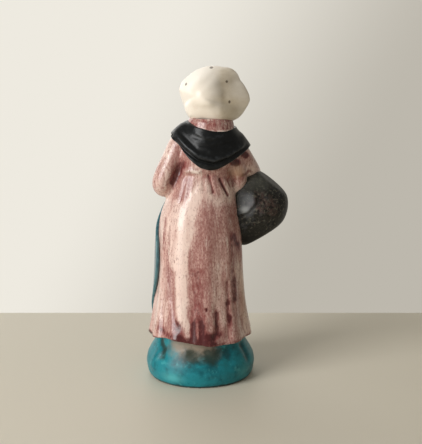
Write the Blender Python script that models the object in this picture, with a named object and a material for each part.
"""Glazed ceramic figurine of a lady in a bonnet, shawl and apron, with a round bag under the right arm.

It is put together as a potter luts it: hollow castings for the base, skirt and bodice, and solid pieces
for the rest, each seated on its neighbour with a thin seam of slip between them.
Units are metres. +Z is up, the figure faces -Y, and the origin is the middle of the foot's flat face.
"""

import math
from collections import namedtuple

import bmesh
import bpy
from mathutils import Matrix, Vector
from mathutils.bvhtree import BVHTree

MM = 0.001

# Seam of slip between two luted pieces
SEAM = 0.3 * MM

# Base: a round mound on a flat foot, hollow, with a vent hole for the kiln
FOOT_HALF_WIDTH = 29.8 * MM
FOOT_HALF_DEPTH = 28.6 * MM
RIM_OVERHANG = 2.6 * MM
RIM_HEIGHT = 9.0 * MM
BASE_SHOULDER_HEIGHT = 15.5 * MM
BASE_SHOULDER_OVERHANG = 0.4 * MM
BASE_NECK_HEIGHT = 20.6 * MM
BASE_FLOOR = 4.5 * MM
BASE_WALL = 5.0 * MM
BASE_SPIGOT = 5.0 * MM
VENT_RADIUS = 1.8 * MM
VENT_OFFSET = 12.0 * MM

# Skirt: a slim bell, given by its half sizes at the hem, knee, hip and waist
HEM_LIFT = 4.6 * MM
HEM_HALF_WIDTH = 30.6 * MM
HEM_HALF_DEPTH = 29.4 * MM
HEM_FLARE_HEIGHT = 9.0 * MM
HEM_FLARE_HALF_WIDTH = 28.7 * MM
HEM_FLARE_HALF_DEPTH = 27.3 * MM
KNEE_HEIGHT = 38.0 * MM
KNEE_HALF_WIDTH = 25.4 * MM
KNEE_HALF_DEPTH = 23.6 * MM
HIP_HEIGHT = 72.0 * MM
HIP_HALF_WIDTH = 22.8 * MM
HIP_HALF_DEPTH = 20.4 * MM
SKIRT_LENGTH = 94.0 * MM
WAIST_HALF_WIDTH = 17.2 * MM
WAIST_HALF_DEPTH = 14.4 * MM
SKIRT_WALL = 4.0 * MM
FOLD_COUNT = 11
FOLD_DEPTH = 0.75 * MM
FOLD_SWAY = 0.9
HEM_WAVE = 1.8 * MM
CREASE_WIDTH = 1.8 * MM

# Apron and its waistband, laid over the front of the skirt. The apron goes round further on the left.
APRON_LEFT_ANGLE = 115.0
APRON_LEFT_TOP_ANGLE = 80.0
APRON_RIGHT_ANGLE = 58.0
APRON_TAPER_SHARE = 0.55
BAND_HALF_ANGLE = 64.0
APRON_THICKNESS = 2.6 * MM
APRON_TOP_GAP = 4.0 * MM
APRON_HEM_GAP = 2.2 * MM
BAND_HEIGHT = 7.0 * MM
BAND_THICKNESS = 2.8 * MM

# Bodice: leans towards the figure's right, with the right shoulder lower than the left
BODICE_HEIGHT = 27.0 * MM
CHEST_HEIGHT = 13.0 * MM
CHEST_HALF_WIDTH = 18.6 * MM
CHEST_HALF_DEPTH = 15.0 * MM
SHOULDER_HEIGHT = 20.0 * MM
SHOULDER_HALF_WIDTH = 17.4 * MM
SHOULDER_HALF_DEPTH = 12.6 * MM
LEAN = -6.0 * MM
WAIST_LEAN = -1.8 * MM
BODICE_WALL = 4.0 * MM
WAIST_SPIGOT = 5.0 * MM

# Arms: the corner of each elbow from its shoulder, and the sleeve's radius along the arm
SLEEVE_SHOULDER_RADIUS = 7.6 * MM
SLEEVE_ELBOW_RADIUS = 6.9 * MM
SLEEVE_CUFF_RADIUS = 5.4 * MM
SHOULDER_INSET = 3.4 * MM
LEFT_SHOULDER_RISE = 1.8 * MM
LEFT_ELBOW_DROP = 30.4 * MM
LEFT_ELBOW_OUT = 16.0 * MM
LEFT_ELBOW_BACK = 5.5 * MM
LEFT_CUFF_ACROSS = 8.0 * MM
RIGHT_SHOULDER_DROP = 3.5 * MM
RIGHT_ELBOW_FORWARD = 10.5 * MM
RIGHT_ELBOW_INSET = 2.0 * MM
RIGHT_EDGE_INSET = 3.0 * MM
RIGHT_CUFF_DROP = 13.0 * MM
ARM_SINK = 3.5 * MM
BEND_SHARE = 1.4
WRIST_RADIUS = 3.2 * MM
PALM_HALF_WIDTH = 4.6 * MM
PALM_HALF_THICKNESS = 2.6 * MM
HAND_LENGTH = 12.0 * MM
WRIST_PEG = 4.0 * MM

# Bag: a soft round shape, pinched towards its top and bottom, pressed against the hip
BAG_HALF_WIDTH = 20.7 * MM
BAG_HALF_DEPTH = 16.5 * MM
BAG_HALF_HEIGHT = 22.6 * MM
BAG_HIP_OVERLAP = 13.0 * MM
BAG_FORWARD = 8.0 * MM
BAG_BELOW_WAIST = 21.0 * MM
BAG_TILT = 3.0 * MM
BAG_PINCH = 0.14
BAG_EDGE_SOFTNESS = 0.8 * MM

# Neck, collar and shawl
NECK_RADIUS = 6.4 * MM
NECK_PEG = 7.0 * MM
COLLAR_HEIGHT = 5.8 * MM
COLLAR_TOP_RADIUS = 11.6 * MM
COLLAR_FOOT_RADIUS = 13.2 * MM
SHAWL_THICKNESS = 2.4 * MM
SHAWL_BACK_DROP = 24.0 * MM
SHAWL_FRONT_DROP = 20.0 * MM
SHAWL_SIDE_DROP = 6.0 * MM
SHAWL_HEART = 13.0 * MM
SHAWL_LEFT_RISE = 4.0 * MM
KNOT_RADIUS = 4.2 * MM

# Head, hair and bonnet, turned a little towards the bag
HEAD_TURN = -22.0
HEAD_HEIGHT = 22.6 * MM
HEAD_HALF_WIDTH = 8.9 * MM
HEAD_HALF_DEPTH = 10.4 * MM
HEAD_FORWARD = 1.5 * MM
NOSE_LENGTH = 1.6 * MM
HAIR_THICKNESS = 1.0 * MM
HAIRLINE_DROP = 5.5 * MM
BONNET_RISE = 13.2 * MM
BONNET_BACK = 16.4 * MM
BONNET_FRONT = 6.4 * MM
PUFF_HEIGHT = 3.0 * MM
PUFF_ASIDE = 4.4 * MM
PUFF_RISE = 1.9 * MM
PUFF_REACH = 8.6 * MM
FACE_OPENING = 2.0 * MM
BRIM_LIP = 1.2 * MM
CROWN_SHARE = 0.62

# Shoes: heels and toe caps sprigged on the base under the hem
SHOE_SPACING = 13.0 * MM
HEEL_HALF_WIDTH = 4.6 * MM
TOE_HALF_WIDTH = 5.4 * MM
SHOE_HALF_HEIGHT = 4.4 * MM
SHOE_PROUD = 2.6 * MM

# Facets of the round pieces
SKIRT_COLUMNS = 120
ROUND_COLUMNS = 36
BONNET_COLUMNS = 48
SLEEVE_FACET_COUNT = 3

# Where the pieces stack
HEM_Z = BASE_NECK_HEIGHT + HEM_LIFT
WAIST_Z = HEM_Z + SKIRT_LENGTH
NECK_Z = WAIST_Z + SEAM + BODICE_HEIGHT
COLLAR_TOP_Z = NECK_Z + COLLAR_HEIGHT
CHIN_Z = COLLAR_TOP_Z - 1.0 * MM
HEAD_TOP_Z = CHIN_Z + HEAD_HEIGHT

Oval = namedtuple("Oval", "height half_width half_depth centre_x centre_y")


# Scene, materials and small helpers


def new_collection(name):
    collection = bpy.data.collections.new(name)
    bpy.context.scene.collection.children.link(collection)
    return collection


def new_material(name, colour, roughness):
    material = bpy.data.materials.new(name)
    material.use_nodes = True
    shader = material.node_tree.nodes["Principled BSDF"]
    shader.inputs["Base Color"].default_value = (*colour, 1.0)
    shader.inputs["Roughness"].default_value = roughness
    shader.inputs["Metallic"].default_value = 0.0
    return material


def place(name, mesh, glaze, collection):
    """Adds a mesh to the scene as a smooth shaded object of one glaze."""
    mesh.shade_smooth()
    mesh.set_sharp_from_angle(angle=math.radians(40.0))
    mesh.materials.clear()
    mesh.materials.append(glaze)
    piece = bpy.data.objects.new(name, mesh)
    collection.objects.link(piece)
    return piece


def mesh_from(name, bm):
    bmesh.ops.recalc_face_normals(bm, faces=bm.faces)
    mesh = bpy.data.meshes.new(name)
    bm.to_mesh(mesh)
    bm.free()
    return mesh


def loft(name, rings, ring_closed=True, hollow=False):
    """Skins a row of rings with equal counts of points. A hollow loft runs back to its first ring."""
    bm = bmesh.new()
    rows = [[bm.verts.new(point) for point in ring] for ring in rings]
    count = len(rows[0])
    pairs = list(zip(rows, rows[1:]))
    if hollow:
        pairs.append((rows[-1], rows[0]))
    for low, high in pairs:
        for i in range(count if ring_closed else count - 1):
            j = (i + 1) % count
            bm.faces.new((low[i], low[j], high[j], high[i]))
    if not hollow:
        bm.faces.new(rows[0])
        bm.faces.new(rows[-1])
    elif not ring_closed:
        bm.faces.new([row[0] for row in rows])
        bm.faces.new([row[-1] for row in rows])
    return mesh_from(name, bm)


def grown(mesh, distance):
    """A copy of a mesh, swollen along its normals, to cut a seat with a seam's clearance."""
    bm = bmesh.new()
    bm.from_mesh(mesh)
    bm.normal_update()
    moves = [(vert, vert.normal * vert.calc_shell_factor() * distance) for vert in bm.verts]
    for vert, move in moves:
        vert.co += move
    return mesh_from(mesh.name + "_grown", bm)


def largest_body(bm):
    """Removes the offcuts that a cut leaves, and keeps the largest connected body."""
    left = set(bm.faces)
    bodies = []
    while left:
        body = set()
        queue = [left.pop()]
        while queue:
            face = queue.pop()
            body.add(face)
            near = {other for edge in face.edges for other in edge.link_faces} & left
            left -= near
            queue.extend(near)
        bodies.append(body)
    bodies.sort(key=lambda body: sum(face.calc_area() for face in body))
    offcuts = [face for body in bodies[:-1] for face in body]
    bmesh.ops.delete(bm, geom=offcuts, context="FACES")


class Workshop:
    """The two collections, and the cutters that seat one piece against another."""

    def __init__(self):
        self.pieces = new_collection("lady_figurine")
        self.cutters = new_collection("seat_cutters")

    def cutter(self, mesh):
        tool = bpy.data.objects.new(mesh.name, mesh)
        tool.hide_render = True
        tool.display_type = "WIRE"
        self.cutters.objects.link(tool)
        return tool

    def seated(self, name, mesh, forms, glaze):
        """Adds a piece with a seat cut for each form that it lies against."""
        piece = place(name, mesh, glaze, self.pieces)
        for form in forms:
            seat = piece.modifiers.new("Seat", "BOOLEAN")
            seat.operation = "DIFFERENCE"
            seat.solver = "EXACT"
            seat.object = self.cutter(grown(form, SEAM))
        bpy.context.view_layer.update()
        graph = bpy.context.evaluated_depsgraph_get()
        cut = bpy.data.meshes.new_from_object(piece.evaluated_get(graph))
        piece.modifiers.clear()
        bm = bmesh.new()
        bm.from_mesh(cut)
        largest_body(bm)
        bm.to_mesh(cut)
        bm.free()
        piece.data = cut
        return piece


# Sections along the height of a body


def oval_between(ovals, height):
    """The smooth section at a height, from the sections above and below it."""
    last = len(ovals) - 2
    k = max(i for i in range(last + 1) if i == 0 or ovals[i].height <= height)
    low, high = ovals[k], ovals[k + 1]
    before = ovals[max(k - 1, 0)]
    after = ovals[min(k + 2, len(ovals) - 1)]
    span = high.height - low.height
    t = (height - low.height) / span
    values = []
    for a, b, c, d in list(zip(before, low, high, after))[1:]:
        slope_low = (c - a) / (high.height - before.height) * span
        slope_high = (d - b) / (after.height - low.height) * span
        values.append(
            (2 * t**3 - 3 * t**2 + 1) * b
            + (t**3 - 2 * t**2 + t) * slope_low
            + (3 * t**2 - 2 * t**3) * c
            + (t**3 - t**2) * slope_high
        )
    return Oval(height, *values)


def oval_point(oval, angle, swell=0.0, lift=0.0):
    x = oval.centre_x + (oval.half_width + swell) * math.cos(angle)
    y = oval.centre_y + (oval.half_depth + swell) * math.sin(angle)
    return Vector((x, y, oval.height + lift))


def oval_ring(oval, columns, swell=0.0):
    turns = [math.tau * i / columns for i in range(columns)]
    return [oval_point(oval, angle, swell) for angle in turns]


def evenly(start, end, count):
    return [start + (end - start) * i / (count - 1) for i in range(count)]


# Skirt and base


def skirt_ovals():
    return [
        Oval(HEM_Z, HEM_HALF_WIDTH, HEM_HALF_DEPTH, 0.0, 0.0),
        Oval(HEM_Z + HEM_FLARE_HEIGHT, HEM_FLARE_HALF_WIDTH, HEM_FLARE_HALF_DEPTH, 0.0, 0.0),
        Oval(HEM_Z + KNEE_HEIGHT, KNEE_HALF_WIDTH, KNEE_HALF_DEPTH, 0.0, 0.0),
        Oval(HEM_Z + HIP_HEIGHT, HIP_HALF_WIDTH, HIP_HALF_DEPTH, 0.0, 0.0),
        Oval(WAIST_Z, WAIST_HALF_WIDTH, WAIST_HALF_DEPTH, WAIST_LEAN, 0.0),
    ]


SKIRT_LEVELS = (0.0, 0.05, 0.1, 0.19, 0.3, 0.42, 0.54, 0.66, 0.77, 0.86, 0.93, 1.0)
CAVITY_LEVELS = (1.0, 0.77, 0.42, 0.1, 0.0)
SHAWL_LEVELS = (0.0, 0.08, 0.3, 0.55, 0.8, 0.95, 1.0)

# Creases of the gown at the back: turn at the lower and upper end in degrees, share of the skirt's length
# at each end, and depth
Crease = namedtuple("Crease", "low_turn high_turn low high depth")
CREASES = (
    Crease(40.0, 30.0, 0.05, 0.37, 0.8 * MM),
    Crease(61.0, 45.0, 0.08, 0.44, 0.9 * MM),
    Crease(70.0, 66.0, 0.0, 0.12, 1.2 * MM),
    Crease(79.5, 79.5, 0.01, 0.22, 0.7 * MM),
    Crease(92.0, 91.0, 0.0, 0.16, 1.0 * MM),
    Crease(110.0, 111.5, 0.04, 0.23, 1.4 * MM),
    Crease(126.0, 130.5, 0.03, 0.37, 1.2 * MM),
    Crease(138.0, 140.0, 0.19, 0.41, 0.9 * MM),
    Crease(152.0, 156.0, 0.05, 0.35, 0.8 * MM),
)
CREASE_FADE = 0.05


def skirt_fold(angle, share):
    """Depth of the gown's folds, which fade from the hem to the waist and lie flat under the apron."""
    front = max(0.0, -math.sin(angle))
    depth = FOLD_DEPTH * (1.0 - share) ** 1.1 * (1.0 - 0.7 * front)
    return depth * math.cos(FOLD_COUNT * angle + FOLD_SWAY * math.sin(2 * angle))


def skirt_crease(angle, share):
    """Depth of the creases drawn down the back of the gown."""
    depth = 0.0
    for crease in CREASES:
        along = min(1.0, max(0.0, (share - crease.low) / (crease.high - crease.low)))
        turn = crease.low_turn + (crease.high_turn - crease.low_turn) * along
        aside = math.remainder(angle - math.radians(turn), math.tau) * HIP_HALF_WIDTH / CREASE_WIDTH
        beyond = max(0.0, crease.low - share, share - crease.high) / CREASE_FADE
        depth += crease.depth * math.exp(-(aside**2) - beyond**2)
    return depth


def hem_lift(angle, share):
    """The hem waves a little and rises at the back left, and this fades out up the skirt."""
    rise = math.exp(-((math.degrees(angle) - 52.0) / 22.0) ** 2) - 0.35 * math.cos(3 * angle)
    return HEM_WAVE * rise * max(0.0, 1.0 - share / 0.2)


def skirt_point(angle, share, swell):
    oval = oval_between(skirt_ovals(), HEM_Z + SKIRT_LENGTH * share)
    relief = skirt_fold(angle, share) - skirt_crease(angle, share)
    return oval_point(oval, angle, swell + relief, hem_lift(angle, share))


def skirt_ring(share, swell=0.0):
    return [skirt_point(math.tau * i / SKIRT_COLUMNS, share, swell) for i in range(SKIRT_COLUMNS)]


def cavity_ring(share):
    """Inside of the skirt's wall, without the folds."""
    oval = oval_between(skirt_ovals(), HEM_Z + SKIRT_LENGTH * share)
    ring = oval_ring(oval, SKIRT_COLUMNS, -SKIRT_WALL)
    for i, point in enumerate(ring):
        point.z += hem_lift(math.tau * i / SKIRT_COLUMNS, share)
    return ring


def skirt_mesh():
    outside = [skirt_ring(share) for share in SKIRT_LEVELS]
    inside = [cavity_ring(share) for share in CAVITY_LEVELS]
    return loft("skirt", outside + inside, hollow=True)


def skirt_form():
    """The skirt without its cavity, for cutting seats."""
    return loft("skirt_form", [skirt_ring(share) for share in SKIRT_LEVELS])


def base_outline():
    """Outer sections of the base, from the foot to the top of the spigot that holds the skirt."""
    spigot_width = HEM_HALF_WIDTH - SKIRT_WALL - SEAM
    spigot_depth = HEM_HALF_DEPTH - SKIRT_WALL - SEAM
    spigot_top = HEM_Z + BASE_SPIGOT
    inside = oval_between(skirt_ovals(), spigot_top)
    top_width = inside.half_width - SKIRT_WALL - 2 * SEAM
    top_depth = inside.half_depth - SKIRT_WALL - 2 * SEAM
    shoulder = BASE_SHOULDER_OVERHANG
    curl = RIM_OVERHANG * 0.7
    return [
        Oval(0.0, FOOT_HALF_WIDTH, FOOT_HALF_DEPTH, 0.0, 0.0),
        Oval(RIM_HEIGHT * 0.3, FOOT_HALF_WIDTH + curl, FOOT_HALF_DEPTH + curl, 0.0, 0.0),
        Oval(RIM_HEIGHT, FOOT_HALF_WIDTH + RIM_OVERHANG, FOOT_HALF_DEPTH + RIM_OVERHANG, 0.0, 0.0),
        Oval(BASE_SHOULDER_HEIGHT, FOOT_HALF_WIDTH + shoulder, FOOT_HALF_DEPTH + shoulder, 0.0, 0.0),
        Oval(BASE_NECK_HEIGHT, spigot_width, spigot_depth, 0.0, 0.0),
        Oval(spigot_top, top_width, top_depth, 0.0, 0.0),
    ]


def vent_ring(height):
    hole = Oval(height, VENT_RADIUS, VENT_RADIUS, 0.0, VENT_OFFSET)
    return oval_ring(hole, SKIRT_COLUMNS)


def base_mesh():
    outline = base_outline()
    outside = [oval_ring(oval, SKIRT_COLUMNS) for oval in outline]
    top = oval_ring(outline[-1], SKIRT_COLUMNS, -BASE_WALL)
    floor = outline[2]._replace(height=BASE_FLOOR)
    floor_edge = oval_ring(floor, SKIRT_COLUMNS, -2 * BASE_WALL)
    return loft("base", [vent_ring(0.0), *outside, top, floor_edge, vent_ring(BASE_FLOOR)], hollow=True)


def base_form():
    return loft("base_form", [oval_ring(oval, SKIRT_COLUMNS) for oval in base_outline()])


def shoe_mesh(name, side, front, half_width):
    """A heel or toe cap: a flattened ball on the slope of the base, under the hem."""
    slope = oval_between(base_outline(), BASE_SHOULDER_HEIGHT + SHOE_HALF_HEIGHT / 2)
    x = side * SHOE_SPACING / 2
    reach = slope.half_depth * math.sqrt(1.0 - (x / slope.half_width) ** 2)
    bm = bmesh.new()
    bmesh.ops.create_uvsphere(bm, u_segments=14, v_segments=8, radius=1.0)
    size = Matrix.Diagonal((half_width, 2 * SHOE_PROUD, SHOE_HALF_HEIGHT, 1.0))
    spot = Matrix.Translation((x, front * (reach - SHOE_PROUD / 2), slope.height))
    bmesh.ops.transform(bm, matrix=spot @ size, verts=bm.verts)
    return mesh_from(name, bm)


# Apron and waistband


def front_angles(right, left, columns):
    """Angles from so many degrees right of the front to so many left of it."""
    return [math.radians(turn) for turn in evenly(270.0 - right, 270.0 + left, columns)]


def apron_left(share):
    """How far the apron goes round to the left, which narrows towards the waist."""
    taper = max(0.0, (share - APRON_TAPER_SHARE) / (1.0 - APRON_TAPER_SHARE))
    return APRON_LEFT_ANGLE + (APRON_LEFT_TOP_ANGLE - APRON_LEFT_ANGLE) * taper


def apron_row(share, swell, sinks):
    """One row of points across the apron. Where it sinks, it is thinner towards the rounded side edges."""
    row = []
    angles = front_angles(APRON_RIGHT_ANGLE, apron_left(share), SKIRT_COLUMNS // 2 + 1)
    for i, angle in enumerate(angles):
        off = 2 * i / (len(angles) - 1) - 1.0
        row.append(skirt_point(angle % math.tau, share, swell * (1.0 - 0.45 * off**4) if sinks else swell))
    return row


def apron_shares():
    low = APRON_HEM_GAP / SKIRT_LENGTH
    high = 1.0 - APRON_TOP_GAP / SKIRT_LENGTH
    return [low, *[share for share in SKIRT_LEVELS if low < share < high], high]


def apron_mesh(name, swell):
    rings = [apron_row(share, APRON_THICKNESS, True) for share in apron_shares()]
    rings += [apron_row(share, swell, False) for share in reversed(apron_shares())]
    return loft(name, rings, ring_closed=False, hollow=True)


def waistband_mesh():
    """A band over the top of the apron, open at the back."""
    angles = front_angles(BAND_HALF_ANGLE, BAND_HALF_ANGLE, ROUND_COLUMNS)
    waist = skirt_ovals()[-1]
    rings = []
    low = WAIST_Z - APRON_TOP_GAP + SEAM
    heights = evenly(low, low + BAND_HEIGHT, 4)
    for i, height in enumerate(heights):
        proud = BAND_THICKNESS if 0 < i < 3 else BAND_THICKNESS * 0.7
        oval = waist._replace(height=height)
        rings.append([oval_point(oval, a, proud) for a in angles])
    for height in reversed(heights):
        oval = waist._replace(height=height)
        rings.append([oval_point(oval, a, -SKIRT_WALL / 2) for a in angles])
    return loft("waistband", rings, ring_closed=False, hollow=True)


# Bodice


def bodice_ovals():
    base = WAIST_Z + SEAM
    lean = LEAN - WAIST_LEAN
    neck = NECK_RADIUS + BODICE_WALL
    return [
        Oval(base, WAIST_HALF_WIDTH, WAIST_HALF_DEPTH, WAIST_LEAN, 0.0),
        Oval(base + CHEST_HEIGHT, CHEST_HALF_WIDTH, CHEST_HALF_DEPTH, WAIST_LEAN + 0.6 * lean, 0.0),
        Oval(base + SHOULDER_HEIGHT, SHOULDER_HALF_WIDTH, SHOULDER_HALF_DEPTH, LEAN, 0.0),
        Oval(base + BODICE_HEIGHT, neck, neck, LEAN, 0.0),
    ]


def bodice_outside():
    ovals = bodice_ovals()
    heights = evenly(ovals[0].height, ovals[-1].height, 8)
    return [oval_ring(oval_between(ovals, height), ROUND_COLUMNS) for height in heights]


def bodice_mesh():
    ovals = bodice_ovals()
    waist, chest, shoulder, neck = ovals
    spigot = -SKIRT_WALL - SEAM
    foot = waist._replace(height=waist.height - WAIST_SPIGOT)
    plug = [oval_ring(oval, ROUND_COLUMNS, spigot) for oval in (foot, waist)]
    bore = neck._replace(half_width=NECK_RADIUS + SEAM, half_depth=NECK_RADIUS + SEAM)
    inside = [
        oval_ring(bore, ROUND_COLUMNS),
        oval_ring(bore._replace(height=shoulder.height), ROUND_COLUMNS),
        oval_ring(chest, ROUND_COLUMNS, -BODICE_WALL),
        oval_ring(waist, ROUND_COLUMNS, spigot - BODICE_WALL),
        oval_ring(foot, ROUND_COLUMNS, spigot - BODICE_WALL),
    ]
    return loft("bodice", plug + bodice_outside() + inside, hollow=True)


def bodice_form():
    return loft("bodice_form", bodice_outside())


# Arms and hands


def shoulder_point(side):
    """Middle of the sleeve's head, inside the bodice's shoulder."""
    rise = LEFT_SHOULDER_RISE if side > 0 else -RIGHT_SHOULDER_DROP
    x = LEAN + side * (SHOULDER_HALF_WIDTH - SHOULDER_INSET)
    return Vector((x, 0.0, WAIST_Z + SHOULDER_HEIGHT + rise))


def left_arm_route():
    """Corners of the arm: shoulder, bent elbow, and the cuff in front of the waist."""
    shoulder = shoulder_point(1)
    elbow = shoulder + Vector((LEFT_ELBOW_OUT, LEFT_ELBOW_BACK, -LEFT_ELBOW_DROP))
    front = WAIST_HALF_DEPTH + BAND_THICKNESS + SLEEVE_CUFF_RADIUS - 1.0 * MM
    cuff = Vector((WAIST_LEAN + LEFT_CUFF_ACROSS, -front, WAIST_Z - APRON_TOP_GAP))
    return [shoulder, elbow, cuff]


def bag_centre():
    x = -(HIP_HALF_WIDTH - BAG_HIP_OVERLAP + BAG_HALF_WIDTH)
    return Vector((x, -BAG_FORWARD, WAIST_Z - BAG_BELOW_WAIST))


def right_arm_route():
    """Corners of the arm: shoulder, elbow on top of the bag, the bag's front edge, and the cuff."""
    shoulder = shoulder_point(-1)
    top = bag_centre().z + BAG_HALF_HEIGHT - ARM_SINK
    front = BAG_FORWARD + BAG_HALF_DEPTH + SLEEVE_CUFF_RADIUS * 0.6
    elbow = Vector((bag_centre().x + RIGHT_ELBOW_INSET, -RIGHT_ELBOW_FORWARD, top))
    edge = Vector((bag_centre().x + RIGHT_EDGE_INSET, -front, top))
    cuff = edge - Vector((0.0, 0.0, RIGHT_CUFF_DROP))
    return [shoulder, elbow, edge, cuff]


def rounded_route(corners):
    """Replaces each inner corner of a route with an arc, wide at the elbow and tighter at the wrist."""
    points = []
    bends = (SLEEVE_ELBOW_RADIUS * BEND_SHARE, SLEEVE_CUFF_RADIUS * BEND_SHARE)
    for before, corner, after, bend in zip(corners, corners[1:], corners[2:], bends):
        way_in = (corner - before).normalized()
        way_out = (after - corner).normalized()
        half_turn = way_in.angle(way_out) / 2
        middle = corner + (way_out - way_in).normalized() * bend / math.cos(half_turn)
        start = corner - way_in * bend * math.tan(half_turn) - middle
        axis = way_in.cross(way_out).normalized()
        for i in range(7):
            points.append(middle + Matrix.Rotation(half_turn * 2 * i / 6, 3, axis) @ start)
    return [*points, corners[-1]]


def sleeve_mesh(name, corners):
    """A tube along the rounded route, thicker at the shoulder than at the cuff."""
    points = [corners[0], *rounded_route(corners)]
    lengths = [0.0]
    for a, b in zip(points, points[1:]):
        lengths.append(lengths[-1] + (b - a).length)
    stations = []
    down = (points[1] - points[0]).normalized()
    for turn in (15.0, 40.0, 65.0):
        dome = math.radians(turn)
        top = points[0] - down * SLEEVE_SHOULDER_RADIUS * math.cos(dome)
        stations.append((top, SLEEVE_SHOULDER_RADIUS * math.sin(dome)))
    for point, length in zip(points, lengths):
        share = length / lengths[-1]
        upper = (SLEEVE_ELBOW_RADIUS - SLEEVE_SHOULDER_RADIUS) * min(1.0, share * 2)
        lower = (SLEEVE_CUFF_RADIUS - SLEEVE_ELBOW_RADIUS) * max(0.0, share * 2 - 1)
        stations.append((point, SLEEVE_SHOULDER_RADIUS + upper + lower))
    curve = bpy.data.curves.new(name, "CURVE")
    curve.dimensions = "3D"
    curve.bevel_depth = 1.0
    curve.bevel_resolution = SLEEVE_FACET_COUNT
    curve.use_fill_caps = True
    spline = curve.splines.new("POLY")
    spline.points.add(len(stations) - 1)
    for control, (point, radius) in zip(spline.points, stations):
        control.co = (*point, 1.0)
        control.radius = radius
    guide = bpy.data.objects.new(name, curve)
    bpy.context.scene.collection.objects.link(guide)
    bpy.context.view_layer.update()
    graph = bpy.context.evaluated_depsgraph_get()
    tube = bpy.data.meshes.new_from_object(guide.evaluated_get(graph))
    bpy.data.objects.remove(guide)
    bm = bmesh.new()
    bm.from_mesh(tube)
    bmesh.ops.remove_doubles(bm, verts=bm.verts, dist=1e-6)
    return mesh_from(name, bm)


def hand_mesh(name, route, across):
    """A mitten of a hand on a wrist peg that plugs into the cuff, lying along the end of the route."""
    before, cuff = route[-2:]
    along = (cuff - before).normalized()
    side = (across - along * across.dot(along)).normalized()
    up = along.cross(side)
    stations = [
        (-WRIST_PEG, WRIST_RADIUS, WRIST_RADIUS),
        (SEAM, WRIST_RADIUS, WRIST_RADIUS),
        (HAND_LENGTH * 0.3, PALM_HALF_WIDTH, PALM_HALF_THICKNESS),
        (HAND_LENGTH * 0.65, PALM_HALF_WIDTH, PALM_HALF_THICKNESS),
        (HAND_LENGTH * 0.95, PALM_HALF_WIDTH * 0.7, PALM_HALF_THICKNESS * 0.7),
    ]
    rings = []
    for reach, half_width, half_thickness in stations:
        middle = cuff + along * reach
        wide = side * half_width
        thick = up * half_thickness
        turns = [math.tau * i / 16 for i in range(16)]
        rings.append([middle + wide * math.cos(a) + thick * math.sin(a) for a in turns])
    return loft(name, rings)


# Bag


# Sides of the bag that the hand pressed flat: a direction, and how far out the flat lies
BAG_FLATS = (
    (Vector((0.05, 0.72, 0.69)), 18.4 * MM),
    (Vector((-0.62, 0.1, 0.78)), 19.4 * MM),
    (Vector((-0.66, 0.1, -0.74)), 18.6 * MM),
    (Vector((0.3, 0.93, 0.18)), 15.6 * MM),
    (Vector((-0.35, 0.8, 0.45)), 17.4 * MM),
    (Vector((-0.1, 0.86, -0.5)), 16.8 * MM),
)


def pressed_flat(point):
    """Presses a point of the bag, given from its middle, back to each flat, with a soft edge."""
    for way, out in BAG_FLATS:
        unit = way.normalized()
        beyond = (point.dot(unit) - out) / BAG_EDGE_SOFTNESS
        point = point - unit * BAG_EDGE_SOFTNESS * math.log1p(math.exp(beyond))
    return point


def bag_mesh():
    """A ball drawn out to the bag's half sizes, pinched at its poles, leaning outwards and pressed flat."""
    bm = bmesh.new()
    bmesh.ops.create_uvsphere(bm, u_segments=32, v_segments=22, radius=1.0)
    for vert in bm.verts:
        pinch = 1.0 - BAG_PINCH * vert.co.z**2
        x = vert.co.x * BAG_HALF_WIDTH * pinch - BAG_TILT * vert.co.z
        round_point = Vector((x, vert.co.y * BAG_HALF_DEPTH * pinch, vert.co.z * BAG_HALF_HEIGHT))
        vert.co = bag_centre() + pressed_flat(round_point)
    return mesh_from("bag", bm)


# Collar and shawl


def collar_mesh():
    top = Oval(COLLAR_TOP_Z, COLLAR_TOP_RADIUS, COLLAR_TOP_RADIUS, LEAN, 0.0)
    foot = Oval(NECK_Z - COLLAR_HEIGHT, COLLAR_FOOT_RADIUS, COLLAR_FOOT_RADIUS, LEAN, 0.0)
    middle = foot._replace(height=NECK_Z)
    bore = NECK_RADIUS + SEAM
    inner = [oval._replace(half_width=bore, half_depth=bore) for oval in (top, foot)]
    rings = [oval_ring(oval, ROUND_COLUMNS) for oval in (foot, middle, top, *inner)]
    return loft("collar", rings, hollow=True)


def shawl_edge(angle):
    """How far the shawl's lower edge hangs below the neck, deepest at the back and at the front."""
    back = max(0.0, math.sin(angle)) ** 1.5
    front = max(0.0, -math.sin(angle)) ** 1.5
    side = 1.0 - back - front
    sag = RIGHT_SHOULDER_DROP * max(0.0, -math.cos(angle))
    return back * SHAWL_BACK_DROP + front * SHAWL_FRONT_DROP + side * SHAWL_SIDE_DROP + sag


def shawl_ways():
    """Directions out of the chest that the shawl's rows of points lie on, from its edge to the neck."""
    rows = []
    for share in SHAWL_LEVELS:
        row = []
        for i in range(ROUND_COLUMNS):
            angle = math.tau * i / ROUND_COLUMNS
            reach = math.hypot(SHOULDER_HALF_WIDTH * math.cos(angle), CHEST_HALF_DEPTH * math.sin(angle))
            low = math.atan2(SHAWL_HEART - shawl_edge(angle), reach + SHAWL_THICKNESS)
            neck = SHAWL_HEART + SHAWL_LEFT_RISE * max(0.0, math.cos(angle))
            high = math.atan2(neck, COLLAR_FOOT_RADIUS)
            rise = low + (high - low) * share
            flat = math.cos(rise)
            row.append(Vector((flat * math.cos(angle), flat * math.sin(angle), math.sin(rise))))
        rows.append(row)
    return rows


def draped(reaches):
    """Lifts the hollows of a grid of reaches, as cloth does where it spans a hollow."""
    columns = len(reaches[0])
    for _ in range(3):
        smooth = []
        for j, row in enumerate(reaches):
            above = reaches[min(j + 1, len(reaches) - 1)]
            below = reaches[max(j - 1, 0)]
            smooth.append([
                max(row[i], (row[i - 1] + row[(i + 1) % columns] + above[i] + below[i]) / 4)
                for i in range(columns)
            ])
        reaches = smooth
    return reaches


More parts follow.
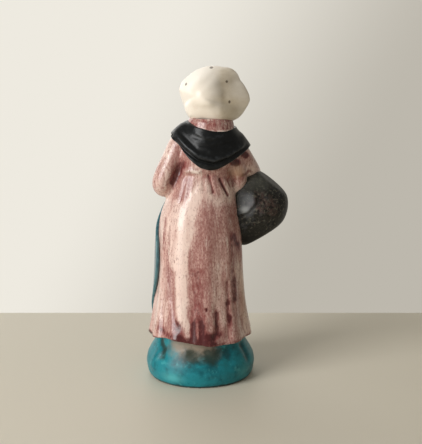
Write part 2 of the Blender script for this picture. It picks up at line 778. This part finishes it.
def shawl_mesh(bodies):
    """A cape of one thickness over the shoulders. The body then cuts away its inside."""
    bm = bmesh.new()
    for body in bodies:
        bm.from_mesh(body)
    tree = BVHTree.FromBMesh(bm)
    bm.free()
    heart = Vector((LEAN, 0.0, NECK_Z - SHAWL_HEART))
    far = HEM_HALF_WIDTH * 3
    ways = shawl_ways()
    hits = [[far - tree.ray_cast(heart + way * far, -way)[3] for way in row] for row in ways]
    outer = draped(hits)
    rings = []
    for row, reach, share in zip(ways, outer, SHAWL_LEVELS):
        thick = SHAWL_THICKNESS * (0.55 if share in (0.0, 1.0) else 1.0)
        rings.append([heart + way * (d + thick) for way, d in zip(row, reach)])
    for row, reach in reversed(list(zip(ways, hits))):
        rings.append([heart + way * (d - SHAWL_THICKNESS) for way, d in zip(row, reach)])
    return loft("shawl", rings, hollow=True)


def knot_mesh():
    bm = bmesh.new()
    bmesh.ops.create_uvsphere(bm, u_segments=16, v_segments=10, radius=KNOT_RADIUS)
    chest = bodice_ovals()[1]
    front = -(chest.half_depth + SHAWL_THICKNESS + KNOT_RADIUS * 0.3)
    spot = Vector((chest.centre_x, front, NECK_Z - SHAWL_FRONT_DROP))
    bmesh.ops.transform(bm, matrix=Matrix.Translation(spot), verts=bm.verts)
    return mesh_from("shawl_knot", bm)


# Head, hair and bonnet, made facing forward and then turned about the neck


def turned(mesh):
    neck = Matrix.Translation((LEAN, 0.0, 0.0))
    mesh.transform(neck @ Matrix.Rotation(math.radians(HEAD_TURN), 4, "Z"))
    return mesh


def head_ovals():
    forward = -HEAD_FORWARD
    return [
        Oval(CHIN_Z + HEAD_HEIGHT * 0.03, NECK_RADIUS * 1.05, NECK_RADIUS * 1.3, 0.0, forward),
        Oval(CHIN_Z + HEAD_HEIGHT * 0.15, HEAD_HALF_WIDTH * 0.76, HEAD_HALF_DEPTH * 0.86, 0.0, forward),
        Oval(CHIN_Z + HEAD_HEIGHT * 0.36, HEAD_HALF_WIDTH * 0.96, HEAD_HALF_DEPTH * 0.97, 0.0, forward),
        Oval(CHIN_Z + HEAD_HEIGHT * 0.58, HEAD_HALF_WIDTH, HEAD_HALF_DEPTH, 0.0, forward),
        Oval(CHIN_Z + HEAD_HEIGHT * 0.8, HEAD_HALF_WIDTH * 0.84, HEAD_HALF_DEPTH * 0.88, 0.0, forward),
        Oval(CHIN_Z + HEAD_HEIGHT * 0.94, HEAD_HALF_WIDTH * 0.48, HEAD_HALF_DEPTH * 0.52, 0.0, forward),
        Oval(HEAD_TOP_Z, HEAD_HALF_WIDTH * 0.12, HEAD_HALF_DEPTH * 0.12, 0.0, forward),
    ]


def head_rings(swell):
    ovals = head_ovals()
    heights = evenly(ovals[0].height, ovals[-1].height, 13)
    rings = [oval_ring(oval_between(ovals, height), ROUND_COLUMNS, swell) for height in heights]
    return rings


def head_mesh():
    rings = head_rings(0.0)
    nose_row = len(rings) * 3 // 8
    front = ROUND_COLUMNS * 3 // 4
    rings[nose_row][front].y -= NOSE_LENGTH
    rings[nose_row + 1][front].y -= NOSE_LENGTH * 0.5
    heights = (NECK_Z - NECK_PEG, CHIN_Z - SEAM)
    peg = [Oval(height, NECK_RADIUS, NECK_RADIUS, 0.0, 0.0) for height in heights]
    return turned(loft("head", [oval_ring(oval, ROUND_COLUMNS) for oval in peg] + rings))


def hair_mesh():
    return turned(loft("hair", head_rings(HAIR_THICKNESS + SEAM)[4:]))


def face_block(name, plane, low, high):
    """A block in front of the face, which opens the hair or the bonnet there."""
    bm = bmesh.new()
    bmesh.ops.create_cube(bm, size=1.0)
    depth = 3 * HEAD_HALF_DEPTH
    size = Matrix.Diagonal((6 * HEAD_HALF_WIDTH, depth, high - low, 1.0))
    spot = Matrix.Translation((0.0, plane - depth / 2, (low + high) / 2))
    bmesh.ops.transform(bm, matrix=spot @ size, verts=bm.verts)
    return turned(mesh_from(name, bm))


# Corners of the brim as seen from behind: across, and above the middle of the bonnet
BRIM_CORNERS = (
    (18.0 * MM, -10.1 * MM),
    (21.0 * MM, -3.8 * MM),
    (22.4 * MM, 1.1 * MM),
    (20.8 * MM, 5.5 * MM),
    (16.4 * MM, 9.3 * MM),
    (12.6 * MM, 12.1 * MM),
    (8.4 * MM, 14.0 * MM),
    (2.5 * MM, 15.3 * MM),
    (-4.6 * MM, 14.9 * MM),
    (-11.0 * MM, 13.9 * MM),
    (-13.9 * MM, 11.5 * MM),
    (-15.8 * MM, 7.6 * MM),
    (-19.5 * MM, 2.9 * MM),
    (-21.6 * MM, -1.5 * MM),
    (-21.8 * MM, -3.9 * MM),
    (-19.1 * MM, -8.5 * MM),
    (-15.4 * MM, -12.6 * MM),
    (-10.0 * MM, -14.7 * MM),
    (0.0, -15.3 * MM),
    (11.0 * MM, -14.5 * MM),
)


def brim_reach(angle):
    """Distance of the brim's edge from the bonnet's middle, with straight sides between its corners."""
    count = len(BRIM_CORNERS)
    turns = [math.atan2(z, x) for x, z in BRIM_CORNERS]
    for k in range(count):
        span = (turns[(k + 1) % count] - turns[k]) % math.tau
        ahead = (angle - turns[k]) % math.tau
        if ahead <= span:
            start = math.hypot(*BRIM_CORNERS[k])
            end = math.hypot(*BRIM_CORNERS[(k + 1) % count])
            return start + (end - start) * ahead / span
    return math.hypot(*BRIM_CORNERS[0])


def bonnet_depth(angle, share, x, z):
    """How far back the bonnet's outer face lies: a puffed cone, and a fuller curtain at the nape."""
    low = min(1.0, max(0.0, (-math.sin(angle) - 0.35) / 0.5))
    power = 1.75 + 3.25 * low
    root = 0.95 - 0.45 * low
    cone = max(0.0, 1.0 - share**power) ** root
    puff = math.exp(-((x + PUFF_ASIDE) ** 2 + (z - PUFF_RISE) ** 2) / PUFF_REACH**2)
    return (BONNET_BACK - PUFF_HEIGHT + BONNET_FRONT) * cone + PUFF_HEIGHT * puff - BONNET_FRONT


def bonnet_ring(share, depth=None):
    """A ring of points at a share of the brim's reach, on the outer face or at a given depth."""
    ring = []
    for i in range(BONNET_COLUMNS):
        angle = math.tau * i / BONNET_COLUMNS
        x = brim_reach(angle) * share * math.cos(angle)
        z = brim_reach(angle) * share * math.sin(angle)
        y = bonnet_depth(angle, share, x, z) if depth is None else depth
        ring.append(Vector((x, y, COLLAR_TOP_Z + BONNET_RISE + z)))
    return ring


def crown_mesh():
    """The bonnet's puffed crown over the back of the head."""
    back = [bonnet_ring(share) for share in (0.06, 0.2, 0.34, 0.48, CROWN_SHARE)]
    return turned(loft("bonnet_crown", [*back, bonnet_ring(CROWN_SHARE, -FACE_OPENING)]))


def brim_mesh():
    """The wide brim about the face, with the curtain over the nape."""
    outer = [bonnet_ring(share) for share in (CROWN_SHARE * 0.97, 0.72, 0.82, 0.91, 0.97, 1.0)]
    lip = BONNET_FRONT + BRIM_LIP
    inner = [
        bonnet_ring(0.95, -lip),
        bonnet_ring(0.85, -lip + 1.6 * MM),
        bonnet_ring(CROWN_SHARE * 0.97, -FACE_OPENING - 0.6 * MM),
    ]
    return turned(loft("bonnet_brim", outer + inner, hollow=True))


# Assembly


def clear_scene():
    for item in list(bpy.data.objects):
        bpy.data.objects.remove(item)


def build():
    clear_scene()
    shop = Workshop()
    turquoise = new_material("turquoise_glaze", (0.02, 0.33, 0.37), 0.12)
    mauve = new_material("mauve_glaze", (0.53, 0.25, 0.24), 0.12)
    cream = new_material("cream_glaze", (0.78, 0.72, 0.6), 0.15)
    charcoal = new_material("charcoal_glaze", (0.025, 0.028, 0.03), 0.18)
    slate = new_material("slate_glaze", (0.06, 0.055, 0.05), 0.25)
    teal = new_material("teal_glaze", (0.07, 0.2, 0.23), 0.15)
    flesh = new_material("flesh_glaze", (0.72, 0.5, 0.38), 0.2)
    brown = new_material("brown_glaze", (0.1, 0.07, 0.05), 0.2)

    skirt = skirt_form()
    bodice = bodice_form()
    apron = apron_mesh("apron_form", -SKIRT_WALL / 2)
    left_route = left_arm_route()
    right_route = right_arm_route()
    left_sleeve = sleeve_mesh("left_sleeve", left_route)
    right_sleeve = sleeve_mesh("right_sleeve", right_route)
    left_hand = hand_mesh("left_hand", left_route, Vector((0.0, 0.0, 1.0)))
    right_hand = hand_mesh("right_hand", right_route, Vector((1.0, 0.0, 0.0)))
    bag = bag_mesh()
    collar = collar_mesh()
    shawl = shawl_mesh([bodice, left_sleeve, right_sleeve, collar])
    band = waistband_mesh()
    head = head_mesh()
    hair = hair_mesh()
    crown = crown_mesh()
    brow_gap = face_block("brow_gap", -FACE_OPENING, 0.0, HEAD_TOP_Z - HAIRLINE_DROP)
    base = base_form()

    place("base", base_mesh(), turquoise, shop.pieces)
    place("skirt", skirt_mesh(), mauve, shop.pieces)
    place("bodice", bodice_mesh(), mauve, shop.pieces)
    place("apron", apron_mesh("apron", SEAM), teal, shop.pieces)
    for side, name in ((1, "left"), (-1, "right")):
        heel = shoe_mesh(name + "_heel", side, 1, HEEL_HALF_WIDTH)
        toe = shoe_mesh(name + "_toe", side, -1, TOE_HALF_WIDTH)
        shop.seated(name + "_heel", heel, [base, skirt], brown)
        shop.seated(name + "_toe", toe, [base, skirt, apron], brown)
    shop.seated("waistband", band, [skirt, bodice, apron], teal)
    shop.seated("bag", bag, [skirt, apron, bodice, band], slate)
    shop.seated("left_sleeve", left_sleeve, [bodice, skirt, apron, band, left_hand], mauve)
    shop.seated("right_sleeve", right_sleeve, [bodice, skirt, apron, band, bag, right_hand], mauve)
    shop.seated("left_hand", left_hand, [skirt, apron, band, bodice], flesh)
    shop.seated("right_hand", right_hand, [bag], flesh)
    shop.seated("collar", collar, [bodice, head, left_sleeve, right_sleeve], mauve)
    shop.seated("shawl", shawl, [bodice, left_sleeve, right_sleeve, collar], charcoal)
    shop.seated("shawl_knot", knot_mesh(), [shawl, bodice], charcoal)
    place("head", head, flesh, shop.pieces)
    shop.seated("hair", hair, [head, brow_gap], brown)
    shop.seated("bonnet_crown", crown, [head, hair], cream)
    shop.seated("bonnet_brim", brim_mesh(), [head, hair, crown, collar, shawl], cream)


build()
